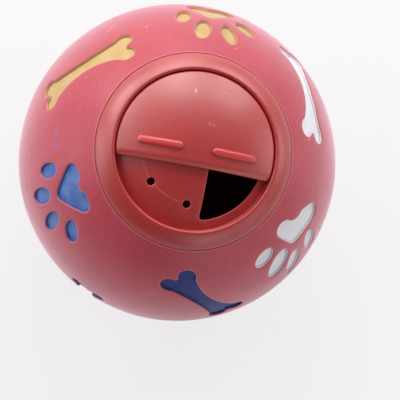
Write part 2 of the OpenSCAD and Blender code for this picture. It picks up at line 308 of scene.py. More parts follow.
def let_ride(made, body, stands_for):
    """Lets a finished piece ride on a body and stand for solids, and prints its measures."""
    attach(made, body)
    if stands_for:
        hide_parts(*stands_for)
    work = bmesh.new()
    work.from_mesh(made.data)
    volume = work.calc_volume(signed=True) / MM ** 3
    loose = sum(len(edge.link_faces) != 2 for edge in work.edges)
    work.free()
    print(f"{made.name}: {len(made.data.polygons)} faces, {volume:.1f} mm3, {loose} open edges")


def piece(name, skin, material, body, slot, *stands_for):
    """Turns a skin into a smooth mesh with its faces outwards."""
    mesh = bpy.data.meshes.new(name)
    mesh.from_pydata(((np.array(skin.points) + CENTRE) * MM).tolist(), [], skin.faces)
    mesh.attributes.new("mark", "FLOAT", "POINT").data.foreach_set("value", skin.marks)
    work = bmesh.new()
    work.from_mesh(mesh)
    bmesh.ops.recalc_face_normals(work, faces=work.faces)
    work.to_mesh(mesh)
    work.free()
    mesh.shade_smooth()
    mesh.materials.append(material)
    made = bpy.data.objects.new(name, mesh)
    bpy.context.scene.collection.objects.link(made)
    let_ride(made, body, stands_for)


# %% Lines and rings
def rounded(corners, steps=6):
    """A line through corners (r, z, fillet), with an arc of that radius in place of each corner."""
    line = []
    for i, (r, z, fillet) in enumerate(corners):
        here = np.array([r, z])
        if fillet == 0:
            line.append(here)
            continue
        beside = corners[i - 1], corners[i + 1]
        sides = [np.array(corner[:2]) - here for corner in beside]
        # Two fillets share the line between them, and one alone has it all
        room = [np.linalg.norm(side) * (0.49 if corner[2] else 0.98)
                for side, corner in zip(sides, beside)]
        before, after = (side / np.linalg.norm(side) for side in sides)
        half = math.acos(np.clip(before @ after, -1, 1)) / 2
        reach = min(fillet / math.tan(half), *room)
        middle = here + (before + after) / np.linalg.norm(before + after) * reach / math.cos(half)
        a, b = here + before * reach - middle, here + after * reach - middle
        sweep = math.pi - 2 * half
        for s in np.linspace(0, 1, steps):
            arm = math.sin((1 - s) * sweep) * a + math.sin(s * sweep) * b
            line.append(middle + arm / math.sin(sweep))
    return np.array(line)


def circle(radius, count, x=0.0, y=0.0):
    """A flat ring of points."""
    angle = np.arange(count) * 2 * math.pi / count
    return np.stack([x + radius * np.cos(angle), y + radius * np.sin(angle)], -1)


def lifted(flat, radius, raise_by=0.0):
    """Flat points put on a dome about the ball's centre."""
    return np.column_stack([flat, sphere_z(radius, np.hypot(*flat.T)) + raise_by])


def on_dome(radius, r, fillet=0):
    """A corner of a line, where it meets a dome."""
    return r, sphere_z(radius, r), fillet


def turned(skin, line, count):
    """The rings that a line (r, z) sweeps as it turns round the dial's axis."""
    return [skin.ring(np.column_stack([circle(r, count), np.full(count, z)])) for r, z in line]


def bricks(limit, spacing):
    """A flat grid of points in rows that are set off like bricks, for even triangles."""
    rows = np.arange(-limit, limit, spacing * TRIANGLE_H)
    return np.array([(x + (k % 2) * spacing / 2, y) for k, y in enumerate(rows)
                     for x in np.arange(-limit, limit, spacing)])


def dome_points(limit, spacing, radius):
    """A loose grid of points on a dome, for filling between rings."""
    grid = bricks(limit, spacing)
    return lifted(grid[np.hypot(*grid.T) < limit], radius)


def flat_plan(points):
    return points[:, :2]

# %% [markdown]
# ## Bones and paws
# Each figure is described by a field: a number at every point that is the distance to its
# outline, negative inside. A drawn outline would do for one ring, but these points are let
# slide along the field's slope until they lie on a level of it, so the rings for the rounded
# lip, the wall and the floor fit inside each other.

# %% Fields of the figures
BONE_L, BONE_END, BONE_WAIST, LOBE_R = 36.5, 13.0, 5.4, 3.0
# Both paws in shares of their width: the pad's three circles and notch (x, y, radius), and the
# toes (x, y, length, width, degrees)
PAW_W = 28.0
HEART = {"pad": [(0.25, -0.389, 0.096), (-0.146, -0.389, 0.099), (0.053, -0.13, 0.084)],
         "notch": (0.06, -0.53, 0.10),
         "toes": [(0.376, 0.003, 0.332, 0.178, 85), (0.13, 0.279, 0.409, 0.199, 86),
                  (-0.188, 0.265, 0.393, 0.18, 105), (-0.39, -0.018, 0.317, 0.192, 133)]}
KIDNEY = {"pad": [(0.165, -0.362, 0.11), (-0.301, -0.37, 0.133), (-0.043, -0.184, 0.104)],
          "notch": (0, -0.578, 0.152),
          "toes": [(0.413, -0.027, 0.299, 0.215, 64), (0.147, 0.174, 0.457, 0.26, 85),
                   (-0.158, 0.307, 0.495, 0.191, 106), (-0.409, 0.085, 0.428, 0.191, 120)]}


def soft_min(a, b, width):
    """The smaller of two distances, with the corner between them rounded off."""
    h = np.clip(0.5 + 0.5 * (b - a) / width, 0, 1)
    return b * (1 - h) + a * h - width * h * (1 - h)


def bone_field(p):
    """A waisted bar that ends in two pairs of round lobes, with its inner corners softened."""
    half_l, half_w = BONE_L / 2 - LOBE_R, BONE_END / 2 - LOBE_R
    over, k = 0.75 * LOBE_R, half_w - BONE_WAIST / 2
    side_r = (half_l ** 2 + k ** 2 - over ** 2) / (2 * (k + over))
    u, v = np.abs(p[:, 0]), np.abs(p[:, 1])
    body = np.maximum(side_r - np.hypot(u, BONE_WAIST / 2 + side_r - v), u - half_l)
    bridge = np.maximum(np.abs(u - half_l) - 0.25 * LOBE_R, v - half_w)
    return soft_min(soft_min(body, np.hypot(u - half_l, v - half_w) - LOBE_R, 0.7), bridge, 0.5)


def pad_field(shape):
    """A string pulled tight round the pad's circles, less the notch."""
    circles, notch = np.array(shape["pad"]) * PAW_W, np.array(shape["notch"]) * PAW_W
    angle = np.radians(np.arange(0, 360, 4))
    way = np.stack([np.cos(angle), np.sin(angle)])
    reach = (circles[:, :2] @ way + circles[:, 2:]).max(0)

    def field(p):
        hull = (p @ way - reach).max(1)
        bite = notch[2] - np.hypot(p[:, 0] - notch[0], p[:, 1] - notch[1])
        return -soft_min(-hull, -bite, 1.0)
    return field


def toe_field(x, y, half_l, half_w, c, s):
    """An oval at (x, y), turned by the angle that has this cosine and sine."""
    def field(p):
        u, v = p[:, 0] - x, p[:, 1] - y
        u, v = (c * u + s * v) / half_l, (c * v - s * u) / half_w
        k1, k2 = np.hypot(u, v) + 1e-9, np.hypot(u / half_l, v / half_w) + 1e-9
        return k1 * (k1 - 1) / k2
    return field


# %% Outlines that settle on a level
def settle(points, field, level, rounds=3):
    """Slides points along the field's slope on to one of its levels."""
    step = 0.01
    for _ in range(rounds):
        slope = np.stack([(field(points + d) - field(points - d)) / (2 * step)
                          for d in (np.array([step, 0]), np.array([0, step]))], -1)
        points = points - ((field(points) - level) / np.square(slope).sum(1))[:, None] * slope
    return points


def evenly(points, spacing):
    """The same closed line with points at one spacing."""
    closed = np.vstack([points, points[:1]])
    along = np.concatenate([[0], np.cumsum(np.linalg.norm(np.diff(closed, axis=0), axis=1))])
    count = max(12, round(along[-1] / spacing))
    at = np.arange(count) * along[-1] / count
    return np.stack([np.interp(at, along, closed[:, k]) for k in (0, 1)], -1)


def outline(rough, field, spacing=0.5):
    """A rough line drawn on to a figure's edge, with even steps."""
    for _ in range(5):
        rough = settle(evenly(rough, spacing), field, 0.0, 4)
    return rough


# %% The three figures
quarter = [(18.4, 1.6), (18.4, 4.5), (15.8, 6.4), (12.5, 4.8), (6, 2.7)]
back = quarter[::-1]
bone_rough = np.array(quarter + [(-x, y) for x, y in back] + [(-x, -y) for x, y in quarter]
                      + [(x, -y) for x, y in back])


def pad_rough(shape):
    """A string pulled tight round the pad's circles, before the notch is cut."""
    circles, way = np.array(shape["pad"]) * PAW_W, circle(1.0, 72)
    touched = circles[(way @ circles[:, :2].T + circles[:, 2]).argmax(1)]
    return touched[:, :2] + touched[:, 2:] * way


def paw_parts(shape):
    pad = pad_field(shape)
    parts = [(outline(pad_rough(shape), pad), pad)]
    for *lengths, degrees in shape["toes"]:
        x, y, half_l, half_w = np.array(lengths) * PAW_W * (1, 1, 0.5, 0.5)
        c, s = math.cos(math.radians(degrees)), math.sin(math.radians(degrees))
        field = toe_field(x, y, half_l, half_w, c, s)
        oval = circle(1.0, 48) * (half_l, half_w) @ np.array([[c, s], [-s, c]]) + (x, y)
        parts.append((outline(oval, field), field))
    return parts


FIGURES = {"bone": [(outline(bone_rough, bone_field), bone_field)], "heart": paw_parts(HEART),
           "kidney": paw_parts(KIDNEY)}
for name, parts in FIGURES.items():
    print(name, "loops of", [len(line) for line, _ in parts], "points")

# %% [markdown]
# ## Where the figures lie
# Three rings of figures run round the ball. Pasting them on as a flat print would stretch
# them, so each keeps its flat outline and is wrapped on the sphere about its own middle, by
# the angle round the dial, the share of the way down and its turn.

# %% Places on the ball
PLACES = [
    ("upper_yellow_bone", "bone", 150.4, 0.139, -30.8), ("upper_yellow_paw", "heart", 88.6, 0.152, -2.1),
    ("upper_white_bone", "bone", 38.8, 0.15, -32.4), ("upper_white_paw", "kidney", -32.1, 0.152, 144.7),
    ("upper_blue_bone", "bone", -73.4, 0.188, -54.2), ("upper_blue_paw", "heart", -150.4, 0.151, 180.2),
    ("middle_yellow_bone", "bone", 4.4, 0.474, 24), ("middle_blue_paw", "heart", 64.4, 0.48, 20),
    ("middle_white_bone", "bone", 124.4, 0.478, -28), ("middle_yellow_paw", "kidney", 184.4, 0.484, 172),
    ("middle_blue_bone", "bone", 244.6, 0.446, 91), ("middle_white_paw", "heart", 304.6, 0.478, -14),
    ("lower_yellow_bone", "bone", 150, 0.758, 12), ("lower_blue_paw", "heart", 30, 0.758, 0),
    ("lower_white_paw", "kidney", 270, 0.758, 0)]
RING_ANGLE = math.asin(RING_R / BALL_R)
REACH, INNER = 22, -1.2  # half the widest figure, and the level inside which points may fill it


def wrapper(azimuth, share, turn):
    """A function that puts flat points (u, v) of a figure on the ball, at a depth."""
    a, down, t = math.radians(azimuth), RING_ANGLE + share * (math.pi - RING_ANGLE), math.radians(turn)
    out = np.array([math.sin(down) * math.cos(a), math.sin(down) * math.sin(a), math.cos(down)])
    east = np.array([-math.sin(a), math.cos(a), 0])
    north = np.cross(out, east)
    u_axis, v_axis = math.cos(t) * east + math.sin(t) * north, math.cos(t) * north - math.sin(t) * east

    def wrap(flat, depth):
        height = sphere_z(BALL_R, np.hypot(flat[:, 0], flat[:, 1]))
        place = flat[:, :1] * u_axis + flat[:, 1:] * v_axis + height[:, None] * out
        return place * (BALL_R - SLACK - np.reshape(depth, (-1, 1))) / BALL_R
    return wrap


def island_rings(skin, line, field, steps, wrap, wander=0.0):
    """One ring of a figure's island for each step (level, depth, share of the wander, mark)."""
    rings = []
    for level, depth, share, mark in steps:
        line = settle(line, field, level)
        rings.append(skin.ring(wrap(line, depth + share * wander), mark))
    skin.bridges(rings)
    return rings


def fill_island(skin, ring, field, wrap, depth, spacing):
    """Closes an island's last ring with triangles, in the plane that touches the ball there."""
    middle = wrap(np.zeros((1, 2)), 0)[0] / BALL_R
    side = np.cross(middle, [0, 0, 1])
    plan = np.stack([side, np.cross(middle, side)], -1)
    grid = bricks(REACH, spacing)
    skin.fill(ring, [], wrap(grid[field(grid) < INNER], depth), lambda p: p @ plan, spacing)


# %% [markdown]
# ## The rubber ball
# One moulding: skin, recesses, the seat for the dial's ring, the rim that its hook holds and
# the hollow inside. A ready made sphere with cuts would tear at every figure. The flat plan
# of a sphere seen from one pole keeps shapes, so the skin's triangles are found in that plan
# and every point keeps its own place on the sphere.

# %% Skin with recesses
# How far outside (+) or inside (-) the outline, how deep, no wander (which only the paint has),
# and the mark: 1 on the lip, painted paler partly as wear and partly as a painted highlight,
# -1 on the wall, painted a darker red as shade
STEPS = [(0.42, 0.0, 0, 0), (0.26, 0.02, 0, 0.5), (0.13, 0.08, 0, 1), (0.04, 0.2, 0, 0.5), (0, 0.38, 0, 0),
         (-0.01, 0.7, 0, -0.6), (-0.04, 1.0, 0, -1), (-0.16, 1.15, 0, -1), (-0.5, RECESS, 0, -1)]
SKIN_SPACING, AROUND = 1.6, 208


def from_pole(points):
    """The plan of directions on a sphere, seen from the dial's pole, which lies at infinity."""
    unit = points / np.linalg.norm(points, axis=1)[:, None]
    return unit[:, :2] / (1 - unit[:, 2:]) * 100


def ball_skin():
    skin, holes = Skin(), []
    for name, kind, *place in PLACES:
        wrap = wrapper(*place)
        for line, field in FIGURES[kind]:
            rings = island_rings(skin, line, field, STEPS, wrap)
            fill_island(skin, rings[-1], field, wrap, RECESS, SKIN_SPACING)
            holes.append(rings[0])
    seat_r, mouth_r, pocket_r = (r + SEAT_GAP for r in (RING_R, NECK_R, HOOK_R))
    hollow_r, start = BALL_R - WALL, seat_r + 0.7
    line = [*rounded([on_dome(BALL_R, start), on_dome(BALL_R, seat_r, 0.2), (seat_r, SEAT_Z, 0.35),
                      (mouth_r, SEAT_Z, 0.5), (mouth_r, RIM_Z, 0.5), (pocket_r, RIM_Z, 0.1),
                      on_dome(hollow_r, pocket_r)])]
    first, last = math.asin((pocket_r + 0.3) / hollow_r), math.atan2(1.0, -hollow_r)
    line += [(hollow_r * math.sin(t), hollow_r * math.cos(t)) for t in np.linspace(first, last, 44)]
    rings = turned(skin, line, AROUND)
    skin.bridges(rings)
    # Partly wear, partly painted highlight: the rubber's edge at the seat is marked paler
    for ring in rings[1:5]:
        for i in ring:
            skin.marks[i] = 1.0
    skin.close(rings[-1], (0, 0, -hollow_r))
    # Points spread evenly over the whole sphere, along one long spiral
    count = round(4 * math.pi * BALL_R ** 2 / (TRIANGLE_H * SKIN_SPACING ** 2))
    k = np.arange(count) + 0.5
    height, around = 1 - 2 * k / count, k * math.pi * (3 - math.sqrt(5))
    flat = np.sqrt(1 - height ** 2)
    spread = np.stack([flat * np.cos(around), flat * np.sin(around), height], -1) * (BALL_R - SLACK)
    spread = spread[spread[:, 2] < sphere_z(BALL_R, start) - 0.5]
    skin.fill(rings[0], holes, spread, from_pole, SKIN_SPACING)
    return skin


# %% [markdown]
# ## Materials
# A material here is a list of what the surface went through: the stuff, the mould, the wear
# and the dirt. Its pattern is measured in millimetres from the ball's centre, so it stays the
# same on a small copy of the ball, and it needs no picture to be wrapped round a sphere.

# %% Material helpers
def start_material(name):
    """A new material, its tree, and the place on the ball in millimetres from the centre."""
    material = bpy.data.materials.new(name)
    tree = empty_tree(material)
    place = add(tree, "ShaderNodeTexCoord", take="Object")
    return material, tree, add(tree, "ShaderNodeMapping", {
        "Vector": place, "Location": -CENTRE, "Scale": [1 / MM] * 3})


def patches(tree, mm, size, detail, low=0.3, high=0.7, *ends, roughness=0.5):
    """Blotches about size mm across. Their greys from low to high are stretched to two ends."""
    grey = add(tree, NOISE, {"Vector": mm, "Scale": 1 / size, "Detail": detail, "Roughness": roughness})
    return add(tree, RANGE, grey, low, high, *ends)


def layer(tree, under, code, share, *limits):
    """A colour laid over another. Limits, if given, stretch its share from two values to two ends."""
    share = add(tree, RANGE, share, *limits) if limits else share
    under = linear(under) if isinstance(under, str) else under
    return add(tree, MIX, {0: share, 6: under, 7: linear(code)}, data_type="RGBA", take=2)


def stroke(tree, mm, start, end, radius, soft=0.15):
    """A short streak from one point to another: 1 within its radius, 0 outside."""
    start, way = Vector(start), Vector(end) - Vector(start)
    from_start = add(tree, "ShaderNodeVectorMath", mm, start, operation="SUBTRACT")
    along = add(tree, "ShaderNodeVectorMath", from_start, way / way.length_squared,
                operation="DOT_PRODUCT", take="Value")
    foot = add(tree, "ShaderNodeVectorMath", {0: way, "Scale": add(tree, RANGE, along)}, operation="SCALE")
    away = add(tree, "ShaderNodeVectorMath", from_start, foot, operation="DISTANCE", take="Value")
    return add(tree, RANGE, away, radius - soft, radius + soft, 1.0, 0.0)


def dust(tree, mm, spacing, share):
    """Sparse bright specks: the middles of a few random cells."""
    cells = add(tree, "ShaderNodeTexVoronoi", {"Vector": mm, "Scale": 1 / spacing}).node.outputs
    lot = add(tree, "ShaderNodeSeparateColor", cells["Color"])
    return add(tree, "MULTIPLY", add(tree, RANGE, cells["Distance"], 0.05, 0.09, 1.0, 0.0),
               add(tree, RANGE, lot, 1 - share, 1 - share + 0.01))


def finish_material(material, mm, colour, rough, grain, gloss):
    """The shader and its fine relief. Grain is its size in mm, its strength and its depth in mm."""
    tree = material.node_tree
    size, strength, deep = grain
    relief = add(tree, NOISE, {"Vector": mm, "Scale": 1 / size, "Detail": 3.0, "Roughness": 0.6})
    normal = add(tree, "ShaderNodeBump", {"Height": relief, "Strength": strength, "Distance": deep * MM})
    shader = add(tree, BSDF, {"Base Color": colour, "Roughness": rough, "Normal": normal, **gloss})
    add(tree, "ShaderNodeOutputMaterial", shader)
    return material


# %% [markdown]
# ## What makes it rubber
# Soft rubber with chalk in it scatters light at its skin, so it pales towards its edges: the
# sheen does that, and broad dull gloss does the rest. The mould's fine grain breaks the shine
# up. The lips are painted paler, partly as wear from rubbing on the floor and partly as a
# painted highlight, and the inner walls are painted a darker red as shade. The blue smears,
# the run of white paint and the scratches are where this very ball has them.

# %% Rubber
# Each mark's radius, the softness of its edge, its share and its colour, and where it runs
BLUE_SMEAR = 0.55, 0.3, 0.75, "#6d62a8"
WHITE_RUN = 0.5, 0.15, 0.8, "#e6d3d8"
SCRATCH = 0.3, 0.15, 0.4, "#f0c4c8"
STREAKS = [((-44.5, -0.4, 32.3), (-44.5, -1.4, 32.3), BLUE_SMEAR),
           ((-43.7, -4.7, 33.0), (-43.7, -5.7, 33.0), BLUE_SMEAR),
           ((29.9, -31.9, 32.6), (32.2, -29.4, 33.3), WHITE_RUN),
           ((-33.4, 36.5, 24.1), (-30.9, 39.6, 22.2), SCRATCH),
           ((-48.6, -25.2, 4.9), (-47.0, -27.9, 6.2), SCRATCH)]


def rubber_material():
    material, tree, mm = start_material("Moulded_natural_rubber")
    colour = layer(tree, "#ac2538", "#b32f42", patches(tree, mm, 16.0, 3.0, 0.35, 0.65))
    colour = layer(tree, colour, "#c95462", patches(tree, mm, 0.9, 4.0), 0.0, 1.0, 0.0, 0.34)
    mark = add(tree, "ShaderNodeAttribute", attribute_name="mark", take="Fac")
    # Partly wear, partly painted highlight: the marked lips turn paler
    colour = layer(tree, colour, "#dd8791", mark, 0.0, 1.0, 0.0, 0.4)
    # Painted shade: the recess walls turn a darker red
    colour = layer(tree, colour, "#7c1a22", mark, -1.0, 0.0, 0.75, 0.0)
    for start, end, (radius, soft, share, code) in STREAKS:
        streak = stroke(tree, mm, start, end, radius, soft)
        colour = layer(tree, colour, code, streak, 0.0, 1.0, 0.0, share)
    colour = layer(tree, colour, "#f2dfe0", dust(tree, mm, 4.2, 0.05), 0.0, 1.0, 0.0, 0.6)
    rough = patches(tree, mm, 5.0, 4.0, 0.3, 0.7, 0.38, 0.5)
    return finish_material(material, mm, colour, rough, (0.45, 0.5, 0.07), {
        "IOR": 1.52, "Sheen Weight": 1.0, "Sheen Roughness": 0.41, "Sheen Tint": linear("#ffdcea")})


piece("rubber_ball", ball_skin(), rubber_material(), "ball", "rubber", "ball_shell")

# %% [markdown]
# ## The paint coats
# Each bone and paw is filled with its own coat of paint. Wet paint climbs the wall of its
# recess and dries there as a thin rim, so the lit walls show a pale line and the shaded ones
# a dark line of the paint's own colour. One closed shell for each island gives that rim, which
# a painted patch of floor would not. The foot of each wall is coloured darker as painted shade.

# %% Paint films
# How far outside (+) or inside (-) the outline, how deep, how much the rim wanders, and the
# mark: 1 where the paint is thin, -1 at the wall's foot, which is coloured darker as painted shade
FILM_STEPS = [(0.03, RECESS + 0.08, 0, 1), (0.05, 0.36, 0.07, 1), (-0.03, 0.33, 0.07, 1),
              (-0.08, 0.44, 0.07, 0.6), (-0.1, 0.74, 0, -0.7), (-0.15, 0.92, 0, -1),
              (-0.3, 0.99, 0, -0.5), (-0.6, RECESS - FILM + 0.02, 0, 0)]


def wobble(count, seed):
    """A smooth closed row of values from about -1 to 1, the same for the same seed."""
    turn, rng = np.arange(count) * 2 * math.pi / count, np.random.default_rng(seed)
    row = sum(np.sin(k * turn + rng.uniform(0, 6.283)) / k ** 0.5 for k in range(2, 15))
    return row / np.abs(row).max()


def film_skin(kind, wrap, seed):
    skin = Skin()
    for part, (line, field) in enumerate(FIGURES[kind]):
        rings = island_rings(skin, line, field, FILM_STEPS, wrap, wobble(len(line), seed * 10 + part))
        for end, spacing in ((-1, 1.6), (0, 3.2)):
            fill_island(skin, rings[end], field, wrap, FILM_STEPS[end][1], spacing)
    return skin


# %% Paint
def paint_material(name, code, chalk_code, thin_code, foot_shade_code, sheen=0.35):
    """A soft enamel pressed into rubber: matt, a little cloudy, thinner at its edge."""
    material, tree, mm = start_material(name)
    colour = layer(tree, code, chalk_code, patches(tree, mm, 4.5, 3.0, 0.35, 0.65), 0.0, 1.0, 0.0, 0.5)
    edge = add(tree, "ShaderNodeAttribute", attribute_name="mark", take="Fac")
    patchy = add(tree, "MULTIPLY", edge, add(tree, NOISE, {"Vector": mm, "Scale": 1 / 1.1, "Detail": 3.0}))
    colour = layer(tree, colour, thin_code, patchy, 0.2, 0.75, 0.0, 0.6)
    # Painted shade: the paint darkens towards the foot of its wall
    colour = layer(tree, colour, foot_shade_code, edge, -1.0, 0.0, 0.75, 0.0)
    rough = patches(tree, mm, 2.0, 3.0, 0.3, 0.7, 0.5, 0.68)
    return finish_material(material, mm, colour, rough, (0.8, 0.4, 0.08), {
        "IOR": 1.5, "Sheen Weight": sheen, "Sheen Roughness": 0.4, "Sheen Tint": linear("#f4f6ff")})


# The deep blue is partly a deeper paint and partly painted shade, for the blue bones
paints = {"yellow": paint_material("Yellow_soft_enamel", "#be9a5e", "#c9ae7b", "#b4743c", "#8a5226"),
          "white": paint_material("White_soft_enamel", "#e2e1e6", "#eaebf0", "#dcb2ba", "#a39aa2"),
          "deep": paint_material("Deep_blue_soft_enamel", "#102672", "#1c3886", "#24245a", "#0a1030", 0.1),
          "blue": paint_material("Blue_soft_enamel", "#385aa8", "#7294d2", "#6a6fb2", "#141a42")}
for seed, (name, kind, *place) in enumerate(PLACES):
    tint = name.split("_")[1]
    # Blue bones take the darker blue: partly their own paint, partly painted shade
    paint = paints["deep" if tint == "blue" and kind == "bone" else tint]
    piece(name + "_coat", film_skin(kind, wrapper(*place), seed), paint, "ball", tint + "_paint", name)

# %% [markdown]
# ## The dial base
# One stiff plastic moulding: the ring with its rounded inner edge, the neck and hook below
# it, and the domed plate with the window and the dimples that the cover clicks into. It could
# be put together from discs and tubes, but nearly all of it is turned from one line, which
# leaves no seams. The plate's window and dimples are rings of their own.

# %% Dial base
WINDOW_X, WINDOW_R, WINDOW_CORNER = 4.9, 22.6, 1.2
DIMPLE_R, DIMPLE_DEPTH, DIMPLE_CIRCLE, DIMPLES = 1.25, 1.4, 17.7, (90, 135, 180, 225, 270)
HUB_R, HUB_DROP, SPINDLE_R, SPINDLE_GAP, SPINDLE_DROP = WINDOW_X - 0.55, 2.0, 3.0, 0.1, 1.1
HUB_Z = PLATE_UNDER - HUB_DROP
SPINDLE_Z = HUB_Z - SPINDLE_DROP
PLATE_SPACING, UNDER_SPACING = 1.5, 2.0
BASE_AROUND, HUB_AROUND, DIMPLE_AROUND = 176, 48, 28  # how many points go round each
# How much wider than the hole, how far below the dome, and the mark: 1 on the edge, painted
# paler partly as wear and partly as a painted highlight, -1 deep in a dimple, painted near black
# as shade
WINDOW_EDGE = [(0.4, 0, 0.3), (0.18, 0.03, 1), (0.05, 0.12, 1), (0, 0.32, 0.3)]
WINDOW_FOOT = [(0, 0.3), (0.05, 0.08), (0.2, 0)]
DIMPLE_EDGE = [(0.3, 0, 0.3), (0.1, 0.05, 1), (0, 0.22, 0.6), (0, 0.5, -1), (0, DIMPLE_DEPTH - 0.3, -1),
               (-0.3, DIMPLE_DEPTH, -1)]


def crown():
    """The height of the ring's bulging top over a distance from the axis."""
    run, rise = RING_R - WELL_R, LIP_Z - RING_EDGE_Z
    chord = math.hypot(run, rise)
    radius = (chord ** 2 / 4 + RING_CROWN ** 2) / (2 * RING_CROWN)
    back = (radius - RING_CROWN) / chord
    x, z = (RING_R + WELL_R) / 2 - rise * back, (RING_EDGE_Z + LIP_Z) / 2 - run * back
    return lambda r: z + math.sqrt(radius ** 2 - (r - x) ** 2)


def window_loop(grow):
    """The window's outline, grown by so much: a round side, two round corners, a straight side."""
    x = WINDOW_X + WINDOW_CORNER
    y = math.sqrt((WINDOW_R - WINDOW_CORNER) ** 2 - x ** 2)
    end, small = math.atan2(y, x), WINDOW_CORNER + grow

    def bend(middle_x, middle_y, radius, turns):
        return [(middle_x + radius * math.cos(t), middle_y + radius * math.sin(t)) for t in turns]
    return np.array(bend(0, 0, WINDOW_R + grow, np.linspace(-end, end, 44))
                    + bend(x, y, small, np.linspace(end, math.pi, 16)[1:])
                    + [(WINDOW_X - grow, t) for t in np.linspace(y, -y, 30)[1:-1]]
                    + bend(x, -y, small, np.linspace(math.pi, 2 * math.pi - end, 16)[:-1]))


def base_skin():
    skin, top = Skin(), crown()
    lead, hook_top, hole_r = (HOOK_R - NECK_R) / 2, RIM_Z - SEAT_GAP, SPINDLE_R + SPINDLE_GAP
    rings = turned(skin, rounded([
        on_dome(PLATE_TOP, WELL_R - 1.0), on_dome(PLATE_TOP, WELL_R, 0.35), (WELL_R, top(WELL_R), 0.7),
        *[(r, top(r), 0) for r in np.linspace(WELL_R + 1.4, RING_R - 0.5, 16)],
        (RING_R, RING_EDGE_Z, 0.2), (RING_R, SEAT_Z, 0.2), (NECK_R, SEAT_Z, 0.3), (NECK_R, hook_top, 0.3),
        (HOOK_R, hook_top, 0.3), (HOOK_R, HOOK_Z + lead, 0.4), (HOOK_R - lead, HOOK_Z, 0.4),
        (WELL_R, HOOK_Z, 0.5), on_dome(PLATE_UNDER, WELL_R, 0.8),
        on_dome(PLATE_UNDER, WELL_R - 1.2)]), BASE_AROUND)
    skin.bridges(rings)
    window = [skin.ring(lifted(window_loop(grow), PLATE_TOP, -drop), mark)
              for grow, drop, mark in WINDOW_EDGE]
    window += [skin.ring(lifted(window_loop(grow), PLATE_UNDER, up)) for grow, up in WINDOW_FOOT]
    skin.bridges(window)
    hub = [skin.ring(lifted(circle(hole_r + grow, HUB_AROUND), PLATE_TOP, -drop))
           for grow, drop in ((0.35, 0), (0.1, 0.08), (0, 0.3))]
    hub += turned(skin, rounded([
        (hole_r, HUB_Z + 1, 0), (hole_r, HUB_Z, 0.25), (HUB_R, HUB_Z, 0.4),
        on_dome(PLATE_UNDER, HUB_R, 0.15), on_dome(PLATE_UNDER, HUB_R + 0.16)]), HUB_AROUND)
    skin.bridges(hub)
    dimples = []
    for turn in map(math.radians, DIMPLES):
        x, y = DIMPLE_CIRCLE * math.cos(turn), DIMPLE_CIRCLE * math.sin(turn)
        pit = [skin.ring(lifted(circle(DIMPLE_R + grow, DIMPLE_AROUND, x, y), PLATE_TOP, -drop), mark)
               for grow, drop, mark in DIMPLE_EDGE]
        skin.bridges(pit)
        # The dimple's floor is marked -1, where it gets its painted shade
        skin.close(pit[-1], (x, y, sphere_z(PLATE_TOP, DIMPLE_CIRCLE) - DIMPLE_DEPTH), -1)
        dimples.append(pit[0])
    for holes, ring, dome, spacing in (([window[0], hub[0], *dimples], rings[0], PLATE_TOP, PLATE_SPACING),
                                       ([window[-1], hub[-1]], rings[-1], PLATE_UNDER, UNDER_SPACING)):
        skin.fill(ring, holes, dome_points(WELL_R, spacing, dome), flat_plan, spacing)
    return skin


# %% [markdown]
# ## Satin plastic
# The dial is moulded ABS, harder and glossier than the rubber. One gloss would look like
# either polish or chalk, so it has two: a tight one for the plastic's own skin and a wide one
# for the satin of the mould, which lays a grey veil over the red wherever the window is
# mirrored. The nub's pale track from dimple to dimple shows that the dial has been turned.

# %% Satin plastic
def abs_material(name, code, deep_code, marks=()):
    """Marks are functions of the tree and the place. Each gives its share and its colour."""
    material, tree, mm = start_material(name)
    colour = layer(tree, code, deep_code, patches(tree, mm, 14.0, 3.0, 0.35, 0.65))
    mottling = patches(tree, mm, 1.3, 4.0, 0.35, 0.7, 0.0, 0.25, roughness=0.6)
    colour = layer(tree, colour, "#bd3f3c", mottling)
    mark = add(tree, "ShaderNodeAttribute", attribute_name="mark", take="Fac")
    # Partly wear, partly painted highlight: marked edges turn a paler red
    colour = layer(tree, colour, "#d4605c", mark, 0.0, 1.0, 0.0, 0.35)
    for share, tint in (make(tree, mm) for make in marks):
        colour = layer(tree, colour, tint, share)
    colour = layer(tree, colour, "#eccfcd", dust(tree, mm, 3.1, 0.06), 0.0, 1.0, 0.0, 0.5)
    # Painted shade: deep in the dimples the plastic is painted near black
    colour = layer(tree, colour, "#1a0708", mark, -1.0, -0.2, 0.97, 0.0)
    # Painted shade: the dimples' pits also lose their gloss
    open_to_light = add(tree, RANGE, mark, -1.0, -0.2)
    rough = patches(tree, mm, 3.0, 4.0, 0.3, 0.7, 0.3, 0.38)
    return finish_material(material, mm, colour, rough, (0.5, 0.3, 0.05), {
        "IOR": 1.55, "Specular IOR Level": add(tree, "MULTIPLY", open_to_light, 0.5),
        "Coat Weight": open_to_light, "Coat Roughness": 0.46})


def rubbed_track(tree, mm):
    """The arc that the cover's nub has rubbed pale, from dimple to dimple."""
    x, y, z, *_ = add(tree, "ShaderNodeSeparateXYZ", mm).node.outputs
    radius = add(tree, "SQRT", add(tree, "MULTIPLY_ADD", y, y, add(tree, "MULTIPLY", x, x)))
    off = add(tree, "ABSOLUTE", add(tree, "SUBTRACT", radius, DIMPLE_CIRCLE - 0.25))
    share = patches(tree, mm, 1.6, 3.0, 0.35, 0.6, 0.1, 0.75)
    for axis, *limits in ((off, 0.12, 0.32, 1.0, 0.0), (x, -0.2, 0.2, 1.0, 0.0), (y, 0.4, 0.8, 1.0, 0.0),
                          (z, 40.0, 41.0)):
        share = add(tree, "MULTIPLY", share, add(tree, RANGE, axis, *limits))
    return share, "#c2605c"


base_plastic = abs_material("Satin_ABS_dial_base", "#b01c1d", "#a5191b", [rubbed_track])
piece("dial_base_moulding", base_skin(), base_plastic, "ball", "dial_plastic", "dial_base")

